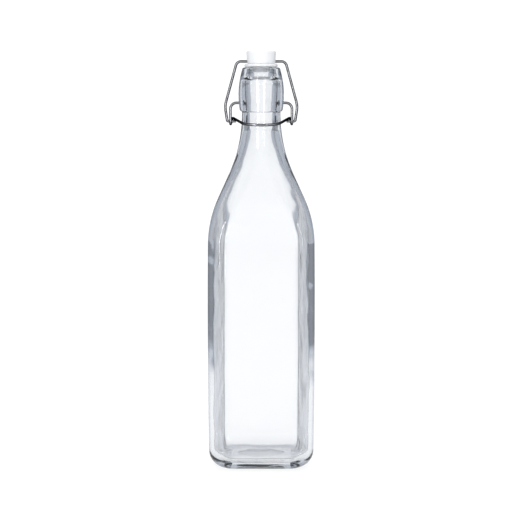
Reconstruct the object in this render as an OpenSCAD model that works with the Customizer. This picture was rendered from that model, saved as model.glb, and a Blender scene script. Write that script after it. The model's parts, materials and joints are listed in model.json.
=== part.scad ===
// Square one-litre swing-top bottle: glass bottle, stopper with gasket, bail wire and lever wire.
// Millimetres, Z up, origin at the centre of the base. The lever closes against the front, -Y.

/* [Glass body] */
// Height of the lip above the base
lip_h = 297; // [280:1:320]
// Width across the flats at mid height
body_w = 78.8; // [72:0.2:88]
// Radius of the upright corners, seen from above
corner_r = 11; // [8:0.5:14]
// How much narrower each side is at the heel than at mid height
belly = 0.6; // [0:0.1:1.2]
// Height at which the sides are widest
belly_z = 105; // [90:1:120]
// Radius of the heel, where the sides turn under the base
heel_r = 16; // [12:0.5:18]
// Wall thickness of the sides
wall_t = 3.4; // [2.6:0.1:4.2]
// Height of the inside floor above the base plane
floor_t = 7; // [5.5:0.5:9]
// Radius where the inside floor meets the sides
floor_r = 10; // [6:0.5:11]
// Depth of the recess under the base
punt_h = 2.2; // [1:0.1:3]
// Radius of the recess under the base
punt_r = 18; // [14:0.5:20]

/* [Shoulder and neck] */
// Height of the shoulder, from the straight sides to the neck
shoulder_h = 94.7; // [85:0.5:105]
// Share of the longest possible sweep taken by the two shoulder arcs
shoulder_sweep = 0.964; // [0.8:0.002:0.98]
// Share of that sweep in the hollow upper arc
shoulder_split = 0.574; // [0.4:0.01:0.65]
// Distance from the top of the shoulder up to the lip
neck_h = 34.1; // [33.6:0.1:38]
// Outside diameter of the neck under the finish
neck_d = 28.7; // [27.5:0.1:30]
// Bore of the neck
neck_bore_d = 20.8; // [18.5:0.1:21]

/* [Finish] */
// Outside diameter of the lip
lip_d = 28.7; // [27.5:0.1:30]
// Rounding of the lip's outer edge
lip_round = 2; // [1.2:0.1:2.6]
// Bore of the mouth
mouth_d = 17; // [16.6:0.1:18]
// Rounding of the mouth's edge
mouth_round = 0.9; // [0.4:0.1:1.2]
// Length of the mouth's straight bore
mouth_h = 6; // [6:0.5:10]
// Largest diameter of the barrel below the lip
barrel_d = 33.8; // [32.5:0.1:35]
// Distance from the lip down to the widest point of the barrel
barrel_drop = 20.5; // [19:0.5:22]
// Distance from the lip down to the barrel's lower edge
barrel_h = 32.9; // [31:0.1:33.2]
// Rounding of the barrel's lower edge
barrel_round = 2.4; // [1.5:0.1:2.8]
// Bore inside the barrel at its widest
barrel_bore_d = 22.6; // [20.5:0.1:23]

/* [Wires] */
// Diameter of both wires
wire_d = 2; // [1.8:0.1:2.1]
// Running clearance round a wire, on the radius
run_clear = 0.1; // [0.06:0.01:0.1]
// Drop from the lip to the lever's pivot
pivot_drop = 26.2; // [25:0.1:27]
// Depth of the dimples that hold the lever's ends
dimple_depth = 3; // [2.4:0.1:3.2]
// Gap between a lever's end and the bottom of its dimple
tip_gap = 0.3; // [0.2:0.05:0.5]
// Drop from the pivot to the eyes that hold the bail
eye_drop = 13.6; // [13:0.1:14.4]
// How far the eyes sit behind the pivot when closed
over_centre = 1.2; // [0.9:0.1:1.4]
// Gap between the barrel and the lever's arms
arm_gap = 4.9; // [4.7:0.1:6]
// Bend where the lever's ends turn down into its arms
arm_bend = 4.5; // [3.5:0.5:5]
// Downward slope of the lever's front bow when closed
bow_slope = 14.5; // [13:0.5:16]
// Gap between the bow and the front of the neck when closed
bow_gap = 0.5; // [0.4:0.1:1]
// Height of the bail's cross wire above the lip
bail_rise = 4.3; // [4:0.1:5]
// How far the bail's cross wire runs past the side of the stopper's head
bail_reach = 6.9; // [6:0.1:8]
// How far the bail's elbows stand outside the lever's arms
elbow_out = 4.1; // [3.8:0.1:5]
// Drop from the lip to the bail's elbows
elbow_drop = 28.5; // [26:0.5:30]
// How far the bail's hooked ends reach in past the lever's arms
hook_reach = 4.1; // [3:0.1:4.5]
// Gap between the bail's legs and the lever's arms
hook_gap = 0.05; // [0.05:0.01:0.1]

/* [Stopper and gasket] */
// Diameter of the stopper's head at its top
head_d = 22; // [21:0.1:23]
// Diameter of the head at its lower edge
head_low_d = 20.8; // [20:0.1:21]
// Height of the stopper's top above the lip
head_h = 12.4; // [11.5:0.1:13.5]
// Rounding of the head's top edge
head_round = 1.2; // [0.6:0.1:1.6]
// Height of the head below the axis of its cross hole
head_skirt = 1.6; // [1.5:0.1:1.9]
// Gap between the button and the bore of the mouth
button_gap = 1.3; // [1:0.1:1.5]
// Thickness of the button
button_t = 1.3; // [1:0.1:1.6]
// How far the button's rim stands out round the stem
button_rim = 1.2; // [0.8:0.1:2]
// How far the stopper reaches into the mouth
plug_depth = 4.4; // [3.6:0.1:4.6]
// Gap between the gasket's plug and the bore of the mouth
plug_gap = 0.5; // [0.5:0.05:0.8]
// How far the gasket's flange stops short of the lip's edge
flange_inset = 1.95; // [1.4:0.05:2.8]
// Gap between the gasket and the lip, before it is squeezed
seal_gap = 0.25; // [0.2:0.01:0.3]
// Clearance between the gasket and the stem
gasket_clear = 0.02; // [0.01:0.01:0.05]

/* [Hidden] */
$fn = 64;

// Heights of the body and the round neck above it
z_neck = lip_h - neck_h;
z_side = z_neck - shoulder_h;
z_heel = heel_r + 6;
z_round = z_neck - 25;
z_joint = z_neck - 13;

// Half widths of the body, and the two arcs and the straight ramp of the shoulder
half_w = body_w / 2;
flat_half = half_w - corner_r;
side_w = half_w - belly * pow((z_side - belly_z) / (belly_z - z_heel), 2);
drop_w = side_w - neck_d / 2;
sweep = shoulder_sweep * (shoulder_h * shoulder_h + drop_w * drop_w) / (2 * drop_w);
hollow_r = sweep * shoulder_split;
round_r = sweep - hollow_r;
ramp = sqrt(shoulder_h * shoulder_h + pow(sweep - drop_w, 2) - sweep * sweep);
sweep_a = atan2(shoulder_h, sweep - drop_w) - atan2(ramp, sweep);
z_ramp0 = z_side + round_r * sin(sweep_a);
z_ramp1 = z_ramp0 + ramp * cos(sweep_a);
ramp_w = side_w - round_r * (1 - cos(sweep_a));

// Share of a heel's or floor's inset by which the flats get shorter too
heel_taper = 0.7;
floor_taper = 0.8;

// Steps of the lofted walls round one corner, and how the loft laps into the turned neck
corner_steps = 12;
joint_lap = 0.5;
joint_step = 0.02;

// Heights and arcs of the finish
z_barrel = lip_h - barrel_drop;
z_barrel0 = lip_h - barrel_h;
z_bead = lip_h - lip_round;
barrel_in = (barrel_d - lip_d) / 2;
barrel_arc = (pow(z_bead - z_barrel, 2) + barrel_in * barrel_in) / (2 * barrel_in);
barrel_x = barrel_d / 2 - barrel_arc;
edge_z = z_barrel0 + barrel_round;
edge_x = barrel_x + sqrt(pow(barrel_arc - barrel_round, 2) - pow(edge_z - z_barrel, 2));

// Heights at which the bore widens into the barrel, stays wide and narrows to the mouth
z_bulge = z_neck - 5;
z_wide = lip_h - 17;
z_narrow = lip_h - 11;

// Width of the countersink round a dimple
dimple_flare = 1.2;

// The wires: radius, eyes, pivots and the lever's arms
wire_r = wire_d / 2;
eye_r = 2 * wire_r + run_clear;
z_pivot = lip_h - pivot_drop;
z_eye = z_pivot - eye_drop;
z_cross = lip_h + bail_rise;
arm_x = barrel_d / 2 + arm_gap + wire_r;

// Bends between a wire's straights are this much thinner, and lap this far into them
bend_thin = 0.01;
bend_lap = 0.05;

// The lever's eyes: their sideways pitch and the bends at their top and bottom
eye_pitch = 1.2;
eye_shift = 0.3;
eye_top_bend = eye_r - 0.35;
eye_low_bend = eye_r - 0.15;

// The lever's bow: its middle arc with half its turn, and where its sides leave it
bow_r = 25;
bow_turn = 14.25;
bow_half = 12.6;
bow_side_bend = 9;
z_bow = z_eye - 3;

// The bail's bends, and half its turn where it hooks into an eye
bail_bend = 4;
elbow_bend = 16;
hook_bend = wire_r + 0.1;
hook_turn = 50.5;

// Diameters and heights of the stopper and gasket
button_d = mouth_d - 2 * button_gap;
stem_d = button_d - 2 * button_rim;
plug_d = mouth_d - 2 * plug_gap;
flange_d = lip_d - 2 * flange_inset;
z_head0 = z_cross - head_skirt;
z_plug = lip_h - plug_depth;

// Small roundings and chamfers of the stopper and gasket
crown_h = 0.3;
edge_round = 0.5;
flange_low_edge = 0.6;
flange_top_edge = 0.9;

function lerp(a, b, t) = a + (b - a) * t;
function clamp01(t) = max(0, min(1, t));
function smooth(t) = t * t * (3 - 2 * t);

// Half width of the outside at height z, leaving out the heel
function half(z) =
    z <= z_side ? half_w - belly * pow((z - belly_z) / (belly_z - z_heel), 2)
    : z <= z_ramp0 ? side_w - round_r + sqrt(round_r * round_r - pow(z - z_side, 2))
    : z <= z_ramp1 ? ramp_w - (z - z_ramp0) * tan(sweep_a)
    : z <= z_neck ? neck_d / 2 + hollow_r - sqrt(hollow_r * hollow_r - pow(z_neck - z, 2))
    : neck_d / 2;

// Half length of the flat part of a side at height z, 0 where the section is a circle
function flat(z) = flat_half * smooth(clamp01((z_round - z) / (z_round - z_side)));

// Wall thickness at height z, growing to the neck's
function wall(z) =
    lerp(wall_t, half(z_joint) - neck_bore_d / 2, smooth(clamp01((z - z_side) / (z_joint - z_side))));

// Radius of the barrel's side at height z
function barrel(z) = barrel_x + sqrt(barrel_arc * barrel_arc - pow(z - z_barrel, 2));

// One ring of a lofted wall: a square of half width a with flats of half length e, at height z
function ring(a, e, z) = [
    for (q = [0:3], i = [0:corner_steps - 1])
        let (t = 90 * (q + (i + 0.5) / corner_steps),
             sx = (q == 0 || q == 3) ? 1 : -1,
             sy = q < 2 ? 1 : -1)
        [sx * e + (a - e) * cos(t), sy * e + (a - e) * sin(t), z]
];

// Heights of the rings above the heel, closer together where the sides curve
function levels(z0) = concat(
    [for (i = [0:4]) lerp(z0, z_side, i / 4)],
    [for (i = [1:8]) lerp(z_side, z_ramp0, i / 8)],
    [for (i = [1:3]) lerp(z_ramp0, z_ramp1, i / 3)],
    [for (i = [1:6]) lerp(z_ramp1, z_joint, i / 6)]
);

function outer_rings() = concat(
    [for (i = [0:6]) let (t = 15 * i, z = heel_r * (1 - cos(t)), d = heel_r * (1 - sin(t)))
        ring(half(z) - d, flat(z) - heel_taper * d, z)],
    [for (z = levels(z_heel)) ring(half(z) - (z == z_joint ? joint_step : 0), flat(z), z)],
    [ring(half(z_joint) - joint_step, 0, z_joint + joint_lap)]
);

function inner_rings() = concat(
    [for (i = [0:5]) let (t = 18 * i, z = floor_t + floor_r * (1 - cos(t)), d = floor_r * (1 - sin(t)))
        ring(half(z) - wall(z) - d, flat(z) - floor_taper * d, z)],
    [for (z = levels(floor_t + floor_r + 6))
        ring(half(z) - wall(z) - (z == z_joint ? joint_step : 0), flat(z), z)],
    [ring(neck_bore_d / 2 - joint_step, 0, z_joint + joint_lap)]
);

// A solid through a list of rings, lowest first
module loft(rings) {
    n = len(rings[0]);
    m = len(rings);
    side = [
        for (k = [0:m - 2], i = [0:n - 1], s = [0, 1])
            let (j = (i + 1) % n)
            s == 0 ? [k * n + i, (k + 1) * n + i, (k + 1) * n + j]
                   : [k * n + i, (k + 1) * n + j, k * n + j]
    ];
    low = [[for (i = [0:n - 1]) i]];
    high = [[for (i = [0:n - 1]) m * n - 1 - i]];
    polyhedron(points = [for (r = rings) for (p = r) p], faces = concat(low, side, high), convexity = 4);
}

// Round neck and finish, without their bore
module finish() {
    edge_a = atan2(edge_z - z_barrel, edge_x - barrel_x);
    neck = [for (i = [0:5]) let (z = lerp(z_joint, z_neck, i / 5)) [half(z), z]];
    edge = [for (i = [0:5]) let (t = lerp(-90, edge_a, i / 5))
        [edge_x + barrel_round * cos(t), edge_z + barrel_round * sin(t)]];
    side = [for (i = [1:10]) let (z = lerp(edge_z, z_bead, i / 10)) [barrel(z), z]];
    lip = [for (i = [1:5]) let (t = 18 * i)
        [lip_d / 2 - lip_round * (1 - cos(t)), z_bead + lip_round * sin(t)]];
    rotate_extrude()
        polygon(concat([[0, z_joint]], neck, [[neck_d / 2, z_barrel0]], edge, side, lip, [[0, lip_h]]));
}

// Bore of the neck and mouth
module bore() {
    neck_r = neck_bore_d / 2;
    wide_r = barrel_bore_d / 2;
    mouth_r = mouth_d / 2;
    flare_r = mouth_r + mouth_round;
    bulge = [for (i = [0:8]) let (t = i / 8)
        [lerp(neck_r, wide_r, smooth(t)), lerp(z_bulge, z_wide, t)]];
    throat = [for (i = [1:5]) let (t = i / 5)
        [lerp(wide_r, mouth_r, smooth(t)), lerp(z_narrow, lip_h - mouth_h, t)]];
    flare = [for (i = [0:4]) let (t = 22.5 * i)
        [flare_r - mouth_round * cos(t), lip_h - mouth_round * (1 - sin(t))]];
    rotate_extrude()
        polygon(concat([[0, z_joint], [neck_r, z_joint]], bulge, [[wide_r, z_narrow]], throat, flare,
            [[flare_r, lip_h + 1], [0, lip_h + 1]]));
}

// Dimples for the lever's ends, one on each side
module dimples() {
    hole_r = wire_r + run_clear;
    for (s = [-1, 1])
        translate([s * (barrel(z_pivot) - dimple_depth), 0, z_pivot])
            rotate([0, s * 90, 0]) {
                cylinder(r = hole_r, h = dimple_depth + 2);
                translate([0, 0, dimple_depth - 0.75 * dimple_flare])
                    cylinder(r1 = hole_r, r2 = hole_r + dimple_flare, h = dimple_flare);
            }
}

// Shallow dished recess under the base
module punt() {
    r = (punt_r * punt_r + punt_h * punt_h) / (2 * punt_h);
    translate([0, 0, punt_h - r])
        sphere(r = r, $fn = 200);
}

module glass_bottle() {
    color([0.80, 0.88, 0.90, 0.45])
        difference() {
            union() {
                loft(outer_rings());
                finish();
            }
            loft(inner_rings());
            bore();
            dimples();
            punt();
        }
}

function unit(v) = v / norm(v);
function mirrored(list) = [for (i = [len(list) - 1:-1:0]) [-list[i][0], list[i][1], list[i][2]]];
function reversed(list) = [for (i = [len(list) - 1:-1:0]) list[i]];

// Round wire through points p, with a bend of radius b[i] at each inner point
module wire(p, b) {
    last = len(p) - 1;
    d = [for (i = [0:last - 1]) unit(p[i + 1] - p[i])];
    turn = [for (i = [0:last]) (i == 0 || i == last) ? 0 : acos(d[i - 1] * d[i])];
    cut = [for (i = [0:last]) b[i] * tan(turn[i] / 2)];
    lap = [for (i = [0:last]) b[i] > 0 ? bend_lap / b[i] * 180 / PI : 0];
    for (i = [0:last - 1]) {
        a = p[i] + d[i] * cut[i];
        c = p[i + 1] - d[i] * cut[i + 1];
        side = unit(cross(d[i], abs(d[i][2]) < 0.9 ? [0, 0, 1] : [1, 0, 0]));
        up = cross(d[i], side);
        multmatrix([[side[0], up[0], d[i][0], a[0]],
                    [side[1], up[1], d[i][1], a[1]],
                    [side[2], up[2], d[i][2], a[2]]])
            cylinder(r = wire_r, h = norm(c - a), $fn = 24);
    }
    for (i = [1:last - 1]) {
        n = unit(cross(d[i - 1], d[i]));
        w = cross(n, d[i - 1]);
        c = p[i] - d[i - 1] * cut[i] + w * b[i];
        multmatrix([[-w[0], d[i - 1][0], n[0], c[0]],
                    [-w[1], d[i - 1][1], n[1], c[1]],
                    [-w[2], d[i - 1][2], n[2], c[2]]])
            rotate([0, 0, -lap[i]])
                rotate_extrude(angle = turn[i] + 2 * lap[i], $fn = 72)
                    translate([b[i], 0])
                        circle(r = wire_r - bend_thin, $fn = 24);
    }
}

// Half of the lever's path, from the middle of its bow to the end of its pivot
function lever_path() =
    let (lean = asin(eye_r / norm([over_centre, eye_drop])) - atan(over_centre / eye_drop),
         back_y = over_centre + eye_r,
         front_y = -(half(z_bow) + wire_r + bow_gap) - bow_r * (1 / cos(bow_turn) - 1),
         side_y = front_y + bow_half * tan(bow_turn),
         top_z = z_eye + eye_r * (1 / cos(bow_slope) + tan(bow_slope)),
         low_z = z_eye - eye_r)
    [
        [0, front_y, top_z - (back_y - front_y) * tan(bow_slope)],
        [bow_half, side_y, top_z - (back_y - side_y) * tan(bow_slope)],
        [arm_x - eye_pitch, back_y, top_z],
        [arm_x - eye_shift, back_y, low_z],
        [arm_x, -(z_pivot - low_z) * tan(lean), low_z],
        [arm_x, 0, z_pivot],
        [barrel(z_pivot) - dimple_depth + tip_gap, 0, z_pivot]
    ];

module lever_wire() {
    half_path = lever_path();
    half_bend = [bow_r, bow_side_bend, eye_top_bend, eye_low_bend, eye_low_bend, arm_bend, 0];
    rest = [for (i = [1:6]) half_path[i]];
    rest_bend = [for (i = [1:6]) half_bend[i]];
    color([0.72, 0.73, 0.75])
        wire(concat(mirrored(rest), half_path), concat(reversed(rest_bend), half_bend));
}

module bail_wire() {
    elbow_z = lip_h - elbow_drop;
    elbow_y = over_centre * (z_cross - elbow_z) / (z_cross - z_eye);
    half_path = [
        [head_d / 2 + bail_reach, 0, z_cross],
        [arm_x + elbow_out, elbow_y, elbow_z],
        [arm_x + wire_r + hook_gap + hook_bend * tan(hook_turn), over_centre, z_eye],
        [arm_x - hook_reach, over_centre, z_eye]
    ];
    half_bend = [bail_bend, elbow_bend, hook_bend, 0];
    color([0.72, 0.73, 0.75])
        wire(concat(mirrored(half_path), half_path), concat(reversed(half_bend), half_bend));
}

module stopper_head() {
    top = lip_h + head_h;
    top_r = head_d / 2;
    low_r = head_low_d / 2;
    stem_r = stem_d / 2;
    button_r = button_d / 2;
    crown = [for (i = [0:5]) let (t = 90 - 18 * i)
        [top_r - head_round * (1 - cos(t)), top - crown_h - head_round * (1 - sin(t))]];
    foot = [for (i = [0:4]) let (t = 22.5 * i)
        [button_r - edge_round * (1 - cos(t)), z_plug + edge_round * (1 - sin(t))]];
    color([0.96, 0.96, 0.95])
        difference() {
            rotate_extrude()
                polygon(concat([[0, top], [top_r / 2, top - crown_h / 3]], crown,
                    [[low_r, z_head0 + edge_round], [low_r - edge_round, z_head0], [stem_r, z_head0],
                     [stem_r, z_plug + button_t], [button_r, z_plug + button_t]], foot, [[0, z_plug]]));
            translate([-top_r - 1, 0, z_cross])
                rotate([0, 90, 0])
                    cylinder(r = wire_r + run_clear, h = head_d + 2);
        }
}

module gasket() {
    low = z_plug + button_t + gasket_clear;
    high = z_head0 - gasket_clear;
    flange_z = lip_h + seal_gap;
    in_r = stem_d / 2 + gasket_clear;
    foot_r = button_d / 2 + 0.2;
    plug_r = plug_d / 2;
    flange_r = flange_d / 2;
    color([0.90, 0.92, 0.92, 0.7])
        rotate_extrude()
            polygon([
                [in_r, low], [foot_r, low], [plug_r - 0.15, lip_h - 2], [plug_r, flange_z],
                [flange_r - flange_low_edge, flange_z], [flange_r, flange_z + flange_low_edge],
                [flange_r, high - flange_top_edge], [flange_r - flange_top_edge, high], [in_r, high]
            ]);
}

glass_bottle();
stopper_head();
gasket();
bail_wire();
lever_wire();
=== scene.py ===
"""Looks of a square swing-top bottle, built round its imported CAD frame. Metres, Z up, front at -Y."""
import json
import math

import bpy
import numpy as np
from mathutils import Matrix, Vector, noise


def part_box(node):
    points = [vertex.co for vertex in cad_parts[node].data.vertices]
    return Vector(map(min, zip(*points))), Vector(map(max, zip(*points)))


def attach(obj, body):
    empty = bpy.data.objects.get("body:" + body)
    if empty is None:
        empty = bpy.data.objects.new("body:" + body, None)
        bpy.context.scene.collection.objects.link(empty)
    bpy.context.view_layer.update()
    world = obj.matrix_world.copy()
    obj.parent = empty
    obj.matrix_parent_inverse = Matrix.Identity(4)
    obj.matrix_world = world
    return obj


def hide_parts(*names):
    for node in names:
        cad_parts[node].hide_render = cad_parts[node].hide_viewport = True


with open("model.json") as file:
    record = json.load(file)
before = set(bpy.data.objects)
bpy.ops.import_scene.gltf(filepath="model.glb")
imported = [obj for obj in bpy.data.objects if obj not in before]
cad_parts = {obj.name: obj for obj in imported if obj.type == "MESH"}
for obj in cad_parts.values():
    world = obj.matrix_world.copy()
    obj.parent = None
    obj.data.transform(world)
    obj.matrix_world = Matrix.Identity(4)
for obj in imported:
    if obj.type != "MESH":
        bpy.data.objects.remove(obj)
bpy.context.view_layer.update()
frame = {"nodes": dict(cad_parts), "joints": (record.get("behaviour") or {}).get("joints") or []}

MM = 0.001

# Places taken from the CAD frame, in millimetres
pins = {j["name"]: Vector(j["pos_m"]) / MM for j in frame["joints"]}
lip_h = (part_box("glass_bottle")[1] / MM).z
z_pivot = pins["lever_pivot"].z
z_eye = pins["bail_pivot"].z
z_cross = pins["stopper_pivot"].z
over_centre = pins["bail_pivot"].y


def lerp(a, b, t):
    """The value a share t of the way from a to b."""
    return a + (b - a) * t


def clamp01(t):
    """t, kept between 0 and 1."""
    return max(0.0, min(1.0, t))


def smooth(t):
    """A share t from 0 to 1, eased at both ends."""
    return t * t * (3 - 2 * t)


def smooth_between(low, high, x):
    """An eased share: 0 where x is at low, 1 where it is at high."""
    return smooth(clamp01((x - low) / (high - low)))


def steps(a, b, n):
    """n + 1 values from a to b."""
    return [lerp(a, b, i / n) for i in range(n + 1)]


def arc(n):
    """n + 1 angles from 0 to a quarter turn."""
    return steps(0, math.pi / 2, n)


# ---------------------------------------------------------------- glass bottle
# Sizes as in the CAD source, in millimetres, with the sweep, split and tapers as ratios
body_w = 78.8
corner_r = 11
belly = 0.6
belly_z = 105
heel_r = 16
heel_gap = 6
wall_t = 3.4
floor_t = 7
floor_r = 10
punt_h = 2.2
punt_r = 18
shoulder_h = 94.7
shoulder_sweep = 0.964
shoulder_split = 0.574
neck_h = 34.1
neck_r = 14.35
neck_bore_r = 10.4
lip_r = 14.35
lip_round = 2
mouth_r = 8.5
mouth_round = 0.9
mouth_h = 6
barrel_r = 16.9
barrel_bore_r = 11.3
barrel_round = 2.4
dimple_depth = 3
dimple_r = 1.1
dimple_flare = 0.9
barrel_drop = 20.5
barrel_h = 32.9
round_drop = 25
joint_drop = 13
bulge_drop = 5
wide_drop = 17
narrow_drop = 11
heel_taper = 0.7
floor_taper = 0.8

# How much shorter the inside's flats are than the outside's, on each half of a side
inner_ease = 4

z_heel = heel_r + heel_gap
z_neck = lip_h - neck_h
z_side = z_neck - shoulder_h
z_round = z_neck - round_drop
z_joint = z_neck - joint_drop
z_bulge = z_neck - bulge_drop
z_wide = lip_h - wide_drop
z_narrow = lip_h - narrow_drop
z_barrel = lip_h - barrel_drop
z_barrel0 = lip_h - barrel_h
z_bead = lip_h - lip_round
half_w = body_w / 2
flat_half = half_w - corner_r
side_w = half_w - belly * ((z_side - belly_z) / (belly_z - z_heel)) ** 2
drop_w = side_w - neck_r
sweep = shoulder_sweep * (shoulder_h ** 2 + drop_w ** 2) / (2 * drop_w)
hollow_r = sweep * shoulder_split
round_r = sweep - hollow_r
ramp = math.sqrt(shoulder_h ** 2 + (sweep - drop_w) ** 2 - sweep ** 2)
sweep_a = math.atan2(shoulder_h, sweep - drop_w) - math.atan2(ramp, sweep)
z_ramp0 = z_side + round_r * math.sin(sweep_a)
z_ramp1 = z_ramp0 + ramp * math.cos(sweep_a)
ramp_w = side_w - round_r * (1 - math.cos(sweep_a))
barrel_in = barrel_r - lip_r
barrel_arc = ((z_bead - z_barrel) ** 2 + barrel_in ** 2) / (2 * barrel_in)
barrel_x = barrel_r - barrel_arc
edge_z = z_barrel0 + barrel_round
edge_x = barrel_x + math.sqrt((barrel_arc - barrel_round) ** 2 - (edge_z - z_barrel) ** 2)


def half(z):
    """Half width of the outside at height z, leaving out the heel."""
    if z <= z_side:
        return half_w - belly * ((z - belly_z) / (belly_z - z_heel)) ** 2
    if z <= z_ramp0:
        return side_w - round_r + math.sqrt(round_r ** 2 - (z - z_side) ** 2)
    if z <= z_ramp1:
        return ramp_w - (z - z_ramp0) * math.tan(sweep_a)
    if z <= z_neck:
        return neck_r + hollow_r - math.sqrt(hollow_r ** 2 - (z_neck - z) ** 2)
    return neck_r


def flat(z):
    """Half length of the flat part of a side at height z, 0 where the section is a circle."""
    return flat_half * smooth_between(0, 1, (z_round - z) / (z_round - z_side))


def inner_flat(z):
    """Half length of the inside's flats: shorter than the outside's, so that the corners are thicker."""
    return flat(z) * (1 - inner_ease / flat_half)


def wall(z):
    """Wall thickness at height z, growing to the neck's."""
    return lerp(wall_t, half(z_joint) - neck_bore_r, smooth_between(z_side, z_joint, z))


def barrel(z):
    """Radius of the barrel's side at height z."""
    return barrel_x + math.sqrt(barrel_arc ** 2 - (z - z_barrel) ** 2)


def bore(z):
    """Radius of the neck's bore at height z, from the joint up to the mouth's rounding."""
    if z <= z_wide:
        return lerp(neck_bore_r, barrel_bore_r, smooth_between(z_bulge, z_wide, z))
    return lerp(barrel_bore_r, mouth_r, smooth_between(z_narrow, lip_h - mouth_h, z))


# Steps between the mesh's upright edges, in degrees, and where they change, from the middle of a side
FINE, MEDIUM, COARSE = 0.75, 1.6, 1.8
FACE_END, CORNER_START = 9, 33


def spaced(start, end, step):
    """Angles from start by step, stopping before end."""
    return [start + step * i for i in range(round((end - start) / step))]


def around():
    """Angles of the mesh's upright edges, closer together at the corners and at the lever's dimples."""
    angles = []
    for quarter in range(4):
        first, last = (FINE, COARSE) if quarter % 2 == 0 else (COARSE, FINE)
        spans = (
            (0, FACE_END, first),
            (FACE_END, CORNER_START, MEDIUM),
            (CORNER_START, 90 - CORNER_START, FINE),
            (90 - CORNER_START, 90 - FACE_END, MEDIUM),
            (90 - FACE_END, 90, last),
        )
        angles += [math.radians(90 * quarter + a) for span in spans for a in spaced(*span)]
    return np.array(angles)


ANGLES = around()


def section(a, e):
    """Distance from the axis, at each angle, of a square of half width a with flats of half length e."""
    cos, sin = np.abs(np.cos(ANGLES)), np.abs(np.sin(ANGLES))
    big, small = np.maximum(cos, sin), np.minimum(cos, sin)
    on_flat = a / big
    reach = e * (cos + sin)
    corner = reach + np.sqrt(np.maximum((a - e) ** 2 - 2 * e ** 2 + reach ** 2, 0))
    return np.where(small / big * a <= e, on_flat, corner)


def ripple(points, size, seed):
    """Smooth noise from -1 to 1 at each point, with features of about size, different for each seed."""
    shift = Vector((seed * 17.3, seed * 5.1, seed * 9.7))
    return np.array([noise.noise(Vector(p) / size + shift) for p in points])


# The last number of a steps() or arc() call below is how many parts the rings cut that stretch into.
# Radius of the first ring round the middle of the base
hub_r = 1.5
# Shares of the way from the punt to the heel at which the flat of the base has rings
base_shares = (0.35, 0.7)


def outer_rings():
    """Rings of the outside from the middle of the base to the mouth, as (z, distances from the axis)."""
    base = section(half(0) - heel_r, flat(0) - heel_taper * heel_r)
    dome_r = (punt_r ** 2 + punt_h ** 2) / (2 * punt_h)
    rings = []
    for r in steps(hub_r, punt_r, 14):
        z = max(0, punt_h - dome_r + math.sqrt(dome_r ** 2 - r ** 2))
        rings.append((z, np.full(len(ANGLES), r)))
    for t in base_shares:
        rings.append((0, lerp(punt_r, base, t)))
    for t in arc(22):
        z = heel_r * (1 - math.cos(t))
        d = heel_r * (1 - math.sin(t))
        rings.append((z, section(half(z) - d, flat(z) - heel_taper * d)))
    heights = steps(heel_r, z_side, 40)[1:] + steps(z_side, z_neck, 56)[1:]
    rings += [(z, section(half(z), flat(z))) for z in heights]
    return rings


# Half height of the zone round a dimple, and the spacing of its rings
dimple_zone, dimple_ring = 2.4, 0.2


def finish_rings():
    """Rings of the neck and finish, outside."""
    edge_a = math.atan2(edge_z - z_barrel, edge_x - barrel_x)
    rings = [(z, neck_r) for z in steps(z_neck, z_barrel0, 2)[1:]]
    for t in steps(-math.pi / 2, edge_a, 9):
        rings.append((edge_z + barrel_round * math.sin(t), edge_x + barrel_round * math.cos(t)))
    dimple = np.arange(z_pivot - dimple_zone, z_pivot + dimple_zone + dimple_ring / 2, dimple_ring)
    rings += [(z, barrel(z)) for z in dimple]
    rings += [(z, barrel(z)) for z in steps(dimple[-1], z_bead, 26)[1:]]
    for t in arc(9)[1:]:
        rings.append((z_bead + lip_round * math.sin(t), lip_r - lip_round * (1 - math.cos(t))))
    rings += [(lip_h, r) for r in steps(lip_r - lip_round, mouth_r + mouth_round, 4)[1:]]
    for t in arc(6)[1:]:
        rings.append((lip_h - mouth_round * (1 - math.cos(t)), mouth_r + mouth_round * (1 - math.sin(t))))
    return [(z, np.full(len(ANGLES), float(r))) for z, r in rings]


# Size of the floor's innermost ring against its outermost
floor_hub = 0.06


def inner_rings():
    """Rings of the inside from the mouth down to the middle of the floor."""
    heights = steps(lip_h - mouth_round, z_joint, 50)[1:]
    rings = [(z, np.full(len(ANGLES), bore(z))) for z in heights]
    floor_top = floor_t + floor_r
    heights = steps(z_joint, z_side, 52)[1:] + steps(z_side, floor_top, 46)[1:]
    rings += [(z, section(half(z) - wall(z), inner_flat(z))) for z in heights]
    for t in arc(16)[1:]:
        z = floor_t + floor_r * (1 - math.sin(t))
        d = floor_r * (1 - math.cos(t))
        rings.append((z, section(half(z) - wall(z) - d, inner_flat(z) - floor_taper * d)))
    edge = rings[-1][1]
    rings += [(floor_t, edge * t) for t in steps(1, floor_hub, 10)[1:]]
    return rings


# A dimple's hole is at full depth as far as hole_lap inside its radius, and its wall is hole_edge wide
hole_lap, hole_edge = 0.08, 0.12


def dimple_inset(points):
    """How far in each outside point of the barrel sits, where the lever's ends go in."""
    rho = np.hypot(points[:, 1], points[:, 2] - z_pivot)
    hole = 1 - np.clip((rho - (dimple_r - hole_lap)) / hole_edge, 0, 1)
    flare = np.clip(1 - (rho - dimple_r) / dimple_flare, 0, 1)
    return hole * (dimple_depth - dimple_flare) + flare * dimple_flare


# Waves of the inside, as (height, size, seed): two on the walls and one on the floor
WALL_WAVES = ((0.34, 21, 1), (0.14, 8, 2))
FLOOR_WAVE = (0.45, 14, 3)
# Distances below the lip at which the waves start and are full
WAVES_START, WAVES_FULL = 12, 30
# Radius within which the waves fade towards the axis
WAVES_HUB = 12
# Height and radius of the floor's low dome
DOME_H, DOME_R = 0.5, 26
# Height above the floor at which its wave and dome start to fade into the wall
FLOOR_FADE = 2


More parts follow.
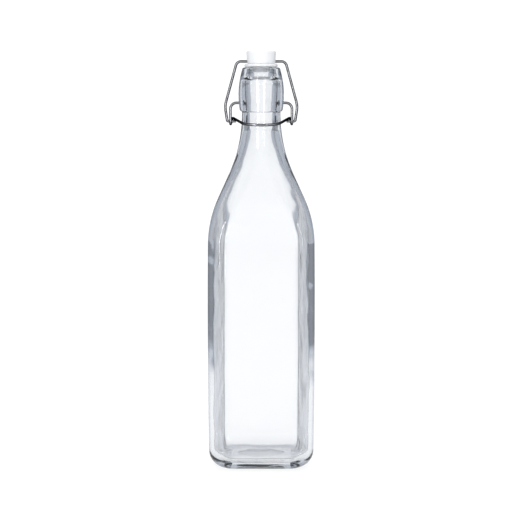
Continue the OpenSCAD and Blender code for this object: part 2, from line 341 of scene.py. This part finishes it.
def glass_points():
    """Points in millimetres, outside going up and inside going down, and the counts of their rings."""
    outside = outer_rings() + finish_rings()
    inside = inner_rings()
    cos, sin = np.cos(ANGLES), np.sin(ANGLES)

    def place(rings):
        """Points of all the rings, in order."""
        placed = [np.stack([r * cos, r * sin, np.full(len(cos), float(z))], 1) for z, r in rings]
        return np.concatenate(placed)

    out, ins = place(outside), place(inside)
    reach = dimple_zone + dimple_ring
    near = (np.abs(out[:, 2] - z_pivot) < reach) & (np.abs(out[:, 1]) < reach)
    near &= np.hypot(out[:, 0], out[:, 1]) > barrel_r - dimple_depth
    out[:, 0] -= np.sign(out[:, 0]) * np.where(near, dimple_inset(out), 0)
    radius = np.maximum(np.hypot(ins[:, 0], ins[:, 1]), 1e-6)
    uneven = sum(height * ripple(ins, size, seed) for height, size, seed in WALL_WAVES)
    full = np.array([smooth_between(lip_h - WAVES_START, lip_h - WAVES_FULL, z) for z in ins[:, 2]])
    for axis in (0, 1):
        ins[:, axis] += uneven * full * ins[:, axis] / radius * np.minimum(radius / WAVES_HUB, 1)
    low = np.array([1 - smooth_between(floor_t + FLOOR_FADE, floor_t + floor_r, z) for z in ins[:, 2]])
    dome = DOME_H * np.clip(1 - radius / DOME_R, 0, 1)
    ins[:, 2] += low * (FLOOR_WAVE[0] * ripple(ins, FLOOR_WAVE[1], FLOOR_WAVE[2]) + dome)
    return out, ins, len(outside), len(inside)


def mesh_object(name, points, faces, material, uvs=None):
    """A smooth-shaded object from points in millimetres."""
    mesh = bpy.data.meshes.new(name)
    mesh.from_pydata([tuple(p) for p in np.asarray(points) * MM], [], faces)
    mesh.polygons.foreach_set("use_smooth", [True] * len(mesh.polygons))
    if uvs is not None:
        layer = mesh.uv_layers.new(name="UVMap")
        layer.data.foreach_set("uv", np.asarray(uvs, float).ravel())
    mesh.materials.append(material)
    mesh.update()
    mesh.validate()
    thing = bpy.data.objects.new(name, mesh)
    bpy.context.scene.collection.objects.link(thing)
    return thing


def tube_faces(n, rings):
    """Faces between successive rings of n points."""
    faces = []
    for k in range(rings - 1):
        low = k * n
        faces += [(low + i, low + (i + 1) % n, low + n + (i + 1) % n, low + n + i) for i in range(n)]
    return faces


# ---------------------------------------------------------------- materials
# Places of a Mix node's colour sockets
COLOUR_A, COLOUR_B, COLOUR_OUT = 6, 7, 2


def new_material(name):
    """A node material with its Principled shader, and a function that adds and wires a node."""
    material = bpy.data.materials.new(name)
    material.use_nodes = True
    nodes, links = material.node_tree.nodes, material.node_tree.links
    shader = nodes["Principled BSDF"]

    def add(kind, values=None, **wires):
        """A new node, with settings or socket values by name, and outputs wired to its named sockets."""
        node = nodes.new(kind)
        for key, value in (values or {}).items():
            if hasattr(node, key):
                setattr(node, key, value)
            else:
                node.inputs[key].default_value = value
        for socket, source in wires.items():
            links.new(source, node.inputs[socket.replace("_", " ")])
        return node

    return material, shader, add, links.new


def colour_ramp(add, source, stops):
    """A ramp from (place, colour) stops, driven by source."""
    ramp_node = add("ShaderNodeValToRGB", Fac=source)
    elements = ramp_node.color_ramp.elements
    while len(elements) < len(stops):
        elements.new(0.5)
    for element, (place, colour) in zip(elements, stops):
        element.position = place
        element.color = (*colour, 1)
    return ramp_node.outputs["Color"]


def glass_material():
    """Clear soda-lime glass: faintly blue-grey through its depth, with a slightly uneven moulded skin.

    Painted shade deepens the colour where a surface is seen edge on, and in a dark band on inside faces
    where light turns back inside the wall; it stands in for the dark surroundings seen through those parts."""
    material, shader, add, link = new_material("clear_glass")
    # Painted shade: outside faces darken towards grazing, and inside faces get a dark band where light
    # turns back inside the wall.
    edge = add("ShaderNodeLayerWeight", {"Blend": 0.5})
    painted_rim_shade = colour_ramp(add, edge.outputs["Facing"],
                      [(0.42, (1, 1, 1)), (0.66, (0.44, 0.46, 0.51)), (0.95, (0.22, 0.235, 0.27))])
    painted_inside_shade = colour_ramp(add, edge.outputs["Facing"], [
        (0.225, (1, 1, 1)), (0.262, (0.14, 0.15, 0.17)), (0.33, (0.42, 0.44, 0.48)),
        (0.46, (0.82, 0.84, 0.87)), (0.6, (1, 1, 1))])
    inside = add("ShaderNodeNewGeometry").outputs["Backfacing"]
    painted_shade_by_face = add("ShaderNodeMix", {"data_type": "RGBA"})
    link(inside, painted_shade_by_face.inputs["Factor"])
    link(painted_rim_shade, painted_shade_by_face.inputs[COLOUR_A])
    link(painted_inside_shade, painted_shade_by_face.inputs[COLOUR_B])
    link(painted_shade_by_face.outputs[COLOUR_OUT], shader.inputs["Base Color"])
    link(painted_shade_by_face.outputs[COLOUR_OUT], shader.inputs["Specular Tint"])
    shader.inputs["Transmission Weight"].default_value = 1
    shader.inputs["IOR"].default_value = 1.5
    coords = add("ShaderNodeTexCoord").outputs["Object"]
    skin = add("ShaderNodeTexNoise", {"Scale": 55, "Detail": 2, "Roughness": 0.4}, Vector=coords)
    fine = add("ShaderNodeTexNoise", {"Scale": 420, "Detail": 1}, Vector=coords)
    both = add("ShaderNodeMix", {"data_type": "FLOAT", "Factor": 0.12})
    link(skin.outputs["Fac"], both.inputs["A"])
    link(fine.outputs["Fac"], both.inputs["B"])
    bump = add("ShaderNodeBump", {"Strength": 0.10, "Distance": 0.0006}, Height=both.outputs["Result"])
    link(bump.outputs["Normal"], shader.inputs["Normal"])
    haze = add("ShaderNodeMapRange", {"From Min": 0.35, "From Max": 0.8, "To Min": 0.0, "To Max": 0.012},
               Value=skin.outputs["Fac"])
    link(haze.outputs["Result"], shader.inputs["Roughness"])
    depth = add("ShaderNodeVolumeAbsorption", {"Color": (0.36, 0.42, 0.50, 1), "Density": 30})
    output = material.node_tree.nodes["Material Output"]
    link(depth.outputs["Volume"], output.inputs["Volume"])
    return material


def steel_material():
    """Drawn stainless wire, darkened towards its edges by painted shade: fine lines along it and a few dull
    patches.
    """
    material, shader, add, link = new_material("steel_wire")
    shader.inputs["Metallic"].default_value = 1
    # Painted shade: a dark edge tint that dims the reflection at grazing angles.
    shader.inputs["Specular Tint"].default_value = (0.2, 0.2, 0.22, 1)
    coords = add("ShaderNodeUVMap", {"uv_map": "UVMap"}).outputs["UV"]
    drawn = add("ShaderNodeMapping", {"Scale": (30, 1.2, 1)}, Vector=coords)
    lines = add("ShaderNodeTexNoise", {"Scale": 1.6, "Detail": 4, "Roughness": 0.65},
                Vector=drawn.outputs["Vector"])
    object_coords = add("ShaderNodeTexCoord").outputs["Object"]
    patches = add("ShaderNodeTexNoise", {"Scale": 160, "Detail": 3}, Vector=object_coords)
    tone = colour_ramp(add, lines.outputs["Fac"], [
        (0.30, (0.16, 0.162, 0.17)), (0.55, (0.27, 0.273, 0.285)), (0.75, (0.42, 0.424, 0.435))])
    # Painted shade: the colour darkens from the middle of the wire towards its edges, as seen from the
    # camera.
    edge = add("ShaderNodeLayerWeight", {"Blend": 0.5})
    shade = colour_ramp(add, edge.outputs["Facing"], [
        (0.03, (1, 1, 1)), (0.13, (0.5, 0.5, 0.51)), (0.30, (0.22, 0.22, 0.23)), (0.7, (0.1, 0.1, 0.11))])
    both = add("ShaderNodeMix", {"data_type": "RGBA", "blend_type": "MULTIPLY"})
    both.inputs["Factor"].default_value = 1
    link(tone, both.inputs[COLOUR_A])
    link(shade, both.inputs[COLOUR_B])
    link(both.outputs[COLOUR_OUT], shader.inputs["Base Color"])
    dull = add("ShaderNodeMapRange", {"From Min": 0.35, "From Max": 0.75, "To Min": 0.12, "To Max": 0.30},
               Value=patches.outputs["Fac"])
    link(dull.outputs["Result"], shader.inputs["Roughness"])
    bump = add("ShaderNodeBump", {"Strength": 0.12, "Distance": 0.00008}, Height=lines.outputs["Fac"])
    link(bump.outputs["Normal"], shader.inputs["Normal"])
    return material


def plastic_material():
    """White moulded plastic with a satin skin and a faintly uneven tone."""
    material, shader, add, link = new_material("white_plastic")
    coords = add("ShaderNodeTexCoord").outputs["Object"]
    cloud = add("ShaderNodeTexNoise", {"Scale": 70, "Detail": 3}, Vector=coords)
    tone = colour_ramp(add, cloud.outputs["Fac"], [
        (0.25, (0.82, 0.823, 0.83)), (0.5, (0.85, 0.853, 0.86)), (0.8, (0.88, 0.883, 0.89))])
    link(tone, shader.inputs["Base Color"])
    skin = add("ShaderNodeTexNoise", {"Scale": 1800, "Detail": 2}, Vector=coords)
    satin = add("ShaderNodeMapRange", {"From Min": 0.3, "From Max": 0.7, "To Min": 0.26, "To Max": 0.40},
                Value=cloud.outputs["Fac"])
    link(satin.outputs["Result"], shader.inputs["Roughness"])
    bump = add("ShaderNodeBump", {"Strength": 0.10, "Distance": 0.00005}, Height=skin.outputs["Fac"])
    link(bump.outputs["Normal"], shader.inputs["Normal"])
    shader.inputs["Subsurface Weight"].default_value = 0.12
    shader.inputs["Subsurface Radius"].default_value = (1.0, 0.95, 0.9)
    shader.inputs["Subsurface Scale"].default_value = 0.0012
    return material


def silicone_material():
    """Translucent silicone: milky, soft-edged, with faint cloudiness."""
    material, shader, add, link = new_material("clear_silicone")
    shader.inputs["Transmission Weight"].default_value = 0.15
    shader.inputs["IOR"].default_value = 1.41
    coords = add("ShaderNodeTexCoord").outputs["Object"]
    cloud = add("ShaderNodeTexNoise", {"Scale": 220, "Detail": 3}, Vector=coords)
    tone = colour_ramp(add, cloud.outputs["Fac"],
                       [(0.3, (0.93, 0.94, 0.95)), (0.7, (0.97, 0.975, 0.98))])
    link(tone, shader.inputs["Base Color"])
    milky = add("ShaderNodeMapRange", {"From Min": 0.3, "From Max": 0.7, "To Min": 0.16, "To Max": 0.34},
                Value=cloud.outputs["Fac"])
    link(milky.outputs["Result"], shader.inputs["Roughness"])
    bump = add("ShaderNodeBump", {"Strength": 0.15, "Distance": 0.0001}, Height=cloud.outputs["Fac"])
    link(bump.outputs["Normal"], shader.inputs["Normal"])
    return material


GLASS = glass_material()
STEEL = steel_material()
PLASTIC = plastic_material()
SILICONE = silicone_material()


# ---------------------------------------------------------------- pieces
def make_bottle():
    """The glass as one closed skin, in place of the CAD node."""
    out, ins, out_count, in_count = glass_points()
    n = len(ANGLES)
    points = np.concatenate([out, ins, [[0, 0, punt_h], [0, 0, ins[-n:, 2].mean()]]])
    faces = tube_faces(n, out_count + in_count)
    last = (out_count + in_count - 1) * n
    foot, floor = len(points) - 2, len(points) - 1
    faces += [((i + 1) % n, i, foot) for i in range(n)]
    faces += [(last + i, last + (i + 1) % n, floor) for i in range(n)]
    bottle = mesh_object("bottle_glass", points, faces, GLASS)
    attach(bottle, "bottle")
    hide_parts("glass_bottle")


def unit(v):
    """v at length 1."""
    return v / np.linalg.norm(v)


def rounded_path(corners, bends, straight=1.5, turn_step=6.0):
    """Points along a line through corners, with an arc of the given radius at each inner corner."""
    corners = [np.array(c, float) for c in corners]
    path = [corners[0]]
    for i in range(1, len(corners) - 1):
        before, after = unit(corners[i] - corners[i - 1]), unit(corners[i + 1] - corners[i])
        turn = math.acos(max(-1, min(1, float(before @ after))))
        cut = bends[i] * math.tan(turn / 2)
        toward = unit(np.cross(np.cross(before, after), before))
        start = corners[i] - before * cut
        centre = start + toward * bends[i]
        count = max(2, math.ceil(math.degrees(turn) / turn_step))
        for t in steps(0, turn, count):
            path.append(centre - toward * bends[i] * math.cos(t) + before * bends[i] * math.sin(t))
    path.append(corners[-1])
    filled = [path[0]]
    for a, b in zip(path, path[1:]):
        count = max(1, math.ceil(np.linalg.norm(b - a) / straight))
        filled += [a + (b - a) * (k / count) for k in range(1, count + 1)]
    return np.array(filled)


# Sizes of the wires as in the CAD source, in millimetres
wire_r = 1
run_clear = 0.1
eye_r = 2 * wire_r + run_clear
arm_gap = 4.9
arm_x = barrel_r + arm_gap + wire_r
arm_bend = 4.5
bow_slope, bow_turn = math.radians(14.5), math.radians(14.25)
bow_r = 25
bow_half = 12.6
bow_gap = 0.5
bow_drop = 3
bow_side_bend = 9
eye_pitch = 1.2
eye_shift = 0.3
eye_top_bend = eye_r - 0.35
eye_low_bend = eye_r - 0.15
tip_gap = 0.3
cross_half = 17.9
bail_bend = 4
elbow_bend = 16
elbow_out = 4.1
elbow_drop = 28.5
hook_bend = wire_r + 0.1
hook_gap = 0.05
hook_reach = 4.1
hook_turn = math.radians(50.5)

# Points round a wire, rounding of its cut ends, and texture length for a millimetre of wire
WIRE_SIDES, END_ROUND, UV_PER_MM = 28, 0.35, 0.1


def wire_rings(path):
    """Rings of points along a round wire that starts level, with rounded ends, and the length at each."""
    tangents = np.gradient(path, axis=0)
    tangents /= np.linalg.norm(tangents, axis=1)[:, None]
    side = unit(np.cross(tangents[0], [0, 0, 1.0]))
    length = np.concatenate([[0], np.cumsum(np.linalg.norm(np.diff(path, axis=0), axis=1))])
    centres = path.copy()
    centres[0] += tangents[0] * END_ROUND
    centres[-1] -= tangents[-1] * END_ROUND
    turn = np.linspace(0, 2 * math.pi, WIRE_SIDES, endpoint=False)
    rings, along = [], []

    def ring(centre, tangent, r, v):
        """A ring of radius r round centre, v along the wire."""
        up = np.cross(tangent, side)
        rings.append(centre + r * (np.outer(np.cos(turn), side) + np.outer(np.sin(turn), up)))
        along.append(v)

    def end_ring(k, inward, t):
        """A ring of the rounding at end k, from the wire's side at t = 0 to its face at a quarter turn."""
        centre = path[k] + inward * END_ROUND * (1 - math.sin(t))
        ring(centre, tangents[k], wire_r - END_ROUND * (1 - math.cos(t)), length[k])

    for t in arc(4)[:0:-1]:
        end_ring(0, tangents[0], t)
    for centre, tangent, v in zip(centres, tangents, length):
        side = unit(side - tangent * (side @ tangent))
        ring(centre, tangent, wire_r, v)
    for t in arc(4)[1:]:
        end_ring(-1, -tangents[-1], t)
    return rings, along


def wire_object(name, path, body, node):
    """A round wire along path, in place of a CAD node, with texture coordinates that run along it."""
    rings, along = wire_rings(path)
    points = np.concatenate(rings)
    faces = tube_faces(WIRE_SIDES, len(rings))
    last = len(points) - WIRE_SIDES
    first_cap, last_cap = len(points), len(points) + 1
    points = np.concatenate([points, [rings[0].mean(0)], [rings[-1].mean(0)]])
    uvs = []
    for v0, v1 in zip(along, along[1:]):
        for i in range(WIRE_SIDES):
            for di, v in ((0, v0), (1, v0), (1, v1), (0, v1)):
                uvs.append(((i + di) / WIRE_SIDES, v * UV_PER_MM))
    for i in range(WIRE_SIDES):
        faces.append(((i + 1) % WIRE_SIDES, i, first_cap))
        uvs += [((i + 1) / WIRE_SIDES, 0), (i / WIRE_SIDES, 0), (0.5, 0)]
    for i in range(WIRE_SIDES):
        faces.append((last + i, last + (i + 1) % WIRE_SIDES, last_cap))
        uvs += [(i / WIRE_SIDES, 1), ((i + 1) / WIRE_SIDES, 1), (0.5, 1)]
    wire = mesh_object(name, points, faces, STEEL, uvs)
    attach(wire, body)
    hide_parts(node)


def mirrored(path):
    """The other half of a wire, from its end back to the middle."""
    return [(-x, y, z) for x, y, z in reversed(path)]


def lever_half():
    """Half of the lever's path, from the middle of its bow to the end of its pivot, with its bends."""
    eye_drop = z_pivot - z_eye
    lean = math.asin(eye_r / math.hypot(over_centre, eye_drop)) - math.atan(over_centre / eye_drop)
    back_y = over_centre + eye_r
    front_y = -(half(z_eye - bow_drop) + wire_r + bow_gap) - bow_r * (1 / math.cos(bow_turn) - 1)
    side_y = front_y + bow_half * math.tan(bow_turn)
    top_z = z_eye + eye_r * (1 / math.cos(bow_slope) + math.tan(bow_slope))
    low_z = z_eye - eye_r
    path = [
        (0, front_y, top_z - (back_y - front_y) * math.tan(bow_slope)),
        (bow_half, side_y, top_z - (back_y - side_y) * math.tan(bow_slope)),
        (arm_x - eye_pitch, back_y, top_z),
        (arm_x - eye_shift, back_y, low_z),
        (arm_x, -(z_pivot - low_z) * math.tan(lean), low_z),
        (arm_x, 0, z_pivot),
        (barrel(z_pivot) - dimple_depth + tip_gap, 0, z_pivot),
    ]
    return path, [bow_r, bow_side_bend, eye_top_bend, eye_low_bend, eye_low_bend, arm_bend, 0]


def bail_half():
    """Half of the bail's path, from its cross wire down to its hooked end, with its bends."""
    elbow_z = lip_h - elbow_drop
    path = [
        (cross_half, 0, z_cross),
        (arm_x + elbow_out, over_centre * (z_cross - elbow_z) / (z_cross - z_eye), elbow_z),
        (arm_x + wire_r + hook_gap + hook_bend * math.tan(hook_turn), over_centre, z_eye),
        (arm_x - hook_reach, over_centre, z_eye),
    ]
    return path, [bail_bend, elbow_bend, hook_bend, 0]


def make_wires():
    """Both wires from end to end, in place of the CAD nodes."""
    path, bends = lever_half()
    corners = mirrored(path[1:]) + path
    wire_object("lever", rounded_path(corners, bends[:0:-1] + bends), "lever", "lever_wire")
    path, bends = bail_half()
    corners = mirrored(path) + path
    wire_object("bail", rounded_path(corners, bends[::-1] + bends), "bail", "bail_wire")


for node, material in (("stopper_head", PLASTIC), ("gasket", SILICONE)):
    piece = frame["nodes"][node]
    piece.data.materials.clear()
    piece.data.materials.append(material)

make_bottle()
make_wires()


# ---------------------------------------------------------------- stage
# Share of full white far from the object, its colour, and the share in the ring of painted shade
STUDIO_GREY = 0.55
STUDIO_TONE = (0.51, 0.54, 0.59)
PAINTED_RING_SHADE = 0.3
# The paper's own colour, and the light it gives off
PAPER = 0.25
PAPER_GLOW = 0.85
# Distances from the object between which the paper's painted pool of light dims, then lightens to painted
# grey, in metres
SPOT_R = (0.28, 0.75)
FAR_R = (1.3, 2.6)
# The white lane of painted light has a half width of LANE_SLOPE times the distance before or behind the
# object plus LANE_START.
# White fades out between these shares of the half width.
LANE_START, LANE_SLOPE, LANE_FADE = 1.3, 0.158, (1.0, 1.4)


def floor_material():
    """Pale paper sweep that glows, with painted light and shade: a white pool round the object and widening
    white lanes before and behind it, painted grey far off, and painted shade darkest in a ring between."""
    material, shader, add, link = new_material("sweep_white")
    where = add("ShaderNodeSeparateXYZ", Vector=add("ShaderNodeTexCoord").outputs["Object"])

    def math_node(operation, a, b=0.0):
        """The result of a Math node on two numbers or outputs."""
        node = add("ShaderNodeMath", {"operation": operation})
        for socket, value in zip(node.inputs, (a, b)):
            if isinstance(value, (int, float)):
                socket.default_value = value
            else:
                link(value, socket)
        return node.outputs["Value"]

    def fade(value, edges, start, end):
        """A value that goes smoothly from start to end between the edges."""
        node = add("ShaderNodeMapRange", {
            "interpolation_type": "SMOOTHSTEP",
            "From Min": edges[0], "From Max": edges[1], "To Min": start, "To Max": end,
        }, Value=value)
        return node.outputs["Result"]

    x, y = where.outputs["X"], where.outputs["Y"]
    away = math_node("SQRT", math_node("ADD", math_node("MULTIPLY", x, x), math_node("MULTIPLY", y, y)))
    lane = math_node("MULTIPLY", math_node("ADD", math_node("ABSOLUTE", y), LANE_START), LANE_SLOPE)
    across = math_node("DIVIDE", math_node("ABSOLUTE", x), lane)
    # Painted light and shade: a white pool and lanes, a darker ring, grey far off.
    share = math_node("MAXIMUM", fade(away, SPOT_R, 1.0, PAINTED_RING_SHADE), fade(across, LANE_FADE, 1.0, 0.0))
    share = math_node("MAXIMUM", share, fade(away, FAR_R, 0.0, STUDIO_GREY))
    tone = colour_ramp(add, share, [(0.0, (0, 0, 0)), (STUDIO_GREY, STUDIO_TONE), (1.0, (1, 1, 1))])
    paper = add("ShaderNodeMix", {"data_type": "RGBA", "blend_type": "MULTIPLY"})
    paper.inputs["Factor"].default_value = 1
    paper.inputs[COLOUR_A].default_value = (PAPER, PAPER, PAPER, 1)
    link(tone, paper.inputs[COLOUR_B])
    link(paper.outputs[COLOUR_OUT], shader.inputs["Base Color"])
    shader.inputs["Roughness"].default_value = 1
    shader.inputs["Specular IOR Level"].default_value = 0
    link(tone, shader.inputs["Emission Color"])
    shader.inputs["Emission Strength"].default_value = PAPER_GLOW
    return material


# The sweep, in millimetres: half width, front edge, bend between floor and wall, wall's place and height
SWEEP_HALF, SWEEP_FRONT, SWEEP_BEND, WALL_Y, WALL_H = 5000, -4000, 600, 3000, 3000
# Where the floor has rows of points between its front edge and the bend
FLOOR_ROWS = (-1000, 0)


def make_stage():
    """A floor that curves up into a wall behind the object."""
    profile = [(y, 0) for y in (SWEEP_FRONT, *FLOOR_ROWS, WALL_Y - SWEEP_BEND)]
    for t in arc(16)[1:]:
        profile.append((WALL_Y - SWEEP_BEND * (1 - math.sin(t)), SWEEP_BEND * (1 - math.cos(t))))
    profile.append((WALL_Y, WALL_H))
    points = [(x, y, z) for y, z in profile for x in (-SWEEP_HALF, SWEEP_HALF)]
    faces = [(2 * i, 2 * i + 1, 2 * i + 3, 2 * i + 2) for i in range(len(profile) - 1)]
    mesh_object("sweep", points, faces, floor_material())


# Area lights, in metres and watts: name, place, target, size, power
LIGHTS = (
    ("top_softbox", (0, 0.1, 1.5), (0, 0.1, 0), (1.0, 1.0), 2),
    ("key_strip", (-0.55, -1.4, 0.45), (0, 0, 0.2), (0.16, 0.9), 5),
    ("fill_strip", (0.5, -1.5, 0.45), (0, 0, 0.2), (0.1, 0.8), 2),
)
# The world brightens from grey along each of these: axis, the two places on it, brightness reached
SKY = (("Z", (0.1, 0.8), 1.0), ("Y", (-0.45, -0.85), 1.25))
SKY_COLOUR = (0.95, 0.97, 1, 1)


def area_light(name, place, target, size, power):
    """A rectangular lamp that faces its target and isn't seen itself."""
    data = bpy.data.lights.new(name, "AREA")
    data.shape = "RECTANGLE"
    data.size, data.size_y = size
    data.energy = power
    lamp = bpy.data.objects.new(name, data)
    lamp.location = place
    lamp.rotation_euler = (Vector(target) - Vector(place)).to_track_quat("-Z", "Y").to_euler()
    lamp.visible_camera = False
    bpy.context.scene.collection.objects.link(lamp)


def make_lights():
    """A world grey at the horizon and bright overhead and in front, a top softbox and two front strips."""
    world = bpy.data.worlds.new("studio")
    bpy.context.scene.world = world
    world.use_nodes = True
    nodes, links = world.node_tree.nodes, world.node_tree.links
    where = nodes.new("ShaderNodeSeparateXYZ")
    links.new(nodes.new("ShaderNodeTexCoord").outputs["Generated"], where.inputs[0])
    share = []
    for axis, edges, most in SKY:
        rise = nodes.new("ShaderNodeMapRange")
        rise.interpolation_type = "SMOOTHSTEP"
        for socket, value in zip(("From Min", "From Max", "To Min", "To Max"), (*edges, STUDIO_GREY, most)):
            rise.inputs[socket].default_value = value
        links.new(where.outputs[axis], rise.inputs["Value"])
        share.append(rise.outputs["Result"])
    brighter = nodes.new("ShaderNodeMath")
    brighter.operation = "MAXIMUM"
    links.new(share[0], brighter.inputs[0])
    links.new(share[1], brighter.inputs[1])
    ground = nodes["Background"]
    ground.inputs["Color"].default_value = SKY_COLOUR
    links.new(brighter.outputs["Value"], ground.inputs["Strength"])
    for light in LIGHTS:
        area_light(*light)


# The camera's place in metres, its tilt down in degrees, and its lens
CAMERA_X, CAMERA_Y = -0.0009, -1.3
CAMERA_TILT = 6.29
CAMERA_LENS, CAMERA_SENSOR = 121.06, 36


def make_camera():
    """A camera level with the lip, looking slightly down at the bottle's front."""
    data = bpy.data.cameras.new("camera")
    data.sensor_width = CAMERA_SENSOR
    data.lens = CAMERA_LENS
    data.clip_start, data.clip_end = 0.01, 50
    camera = bpy.data.objects.new("camera", data)
    camera.location = (CAMERA_X, CAMERA_Y, lip_h * MM)
    camera.rotation_euler = (math.radians(90 - CAMERA_TILT), 0, 0)
    bpy.context.scene.collection.objects.link(camera)
    bpy.context.scene.camera = camera


# Enough bounces for light through both walls and along them
GLASS_BOUNCES = 24

make_stage()
make_lights()
make_camera()
scene = bpy.context.scene
scene.view_settings.view_transform = "Standard"
scene.cycles.max_bounces = GLASS_BOUNCES
scene.cycles.transmission_bounces = GLASS_BOUNCES
scene.cycles.transparent_max_bounces = GLASS_BOUNCES
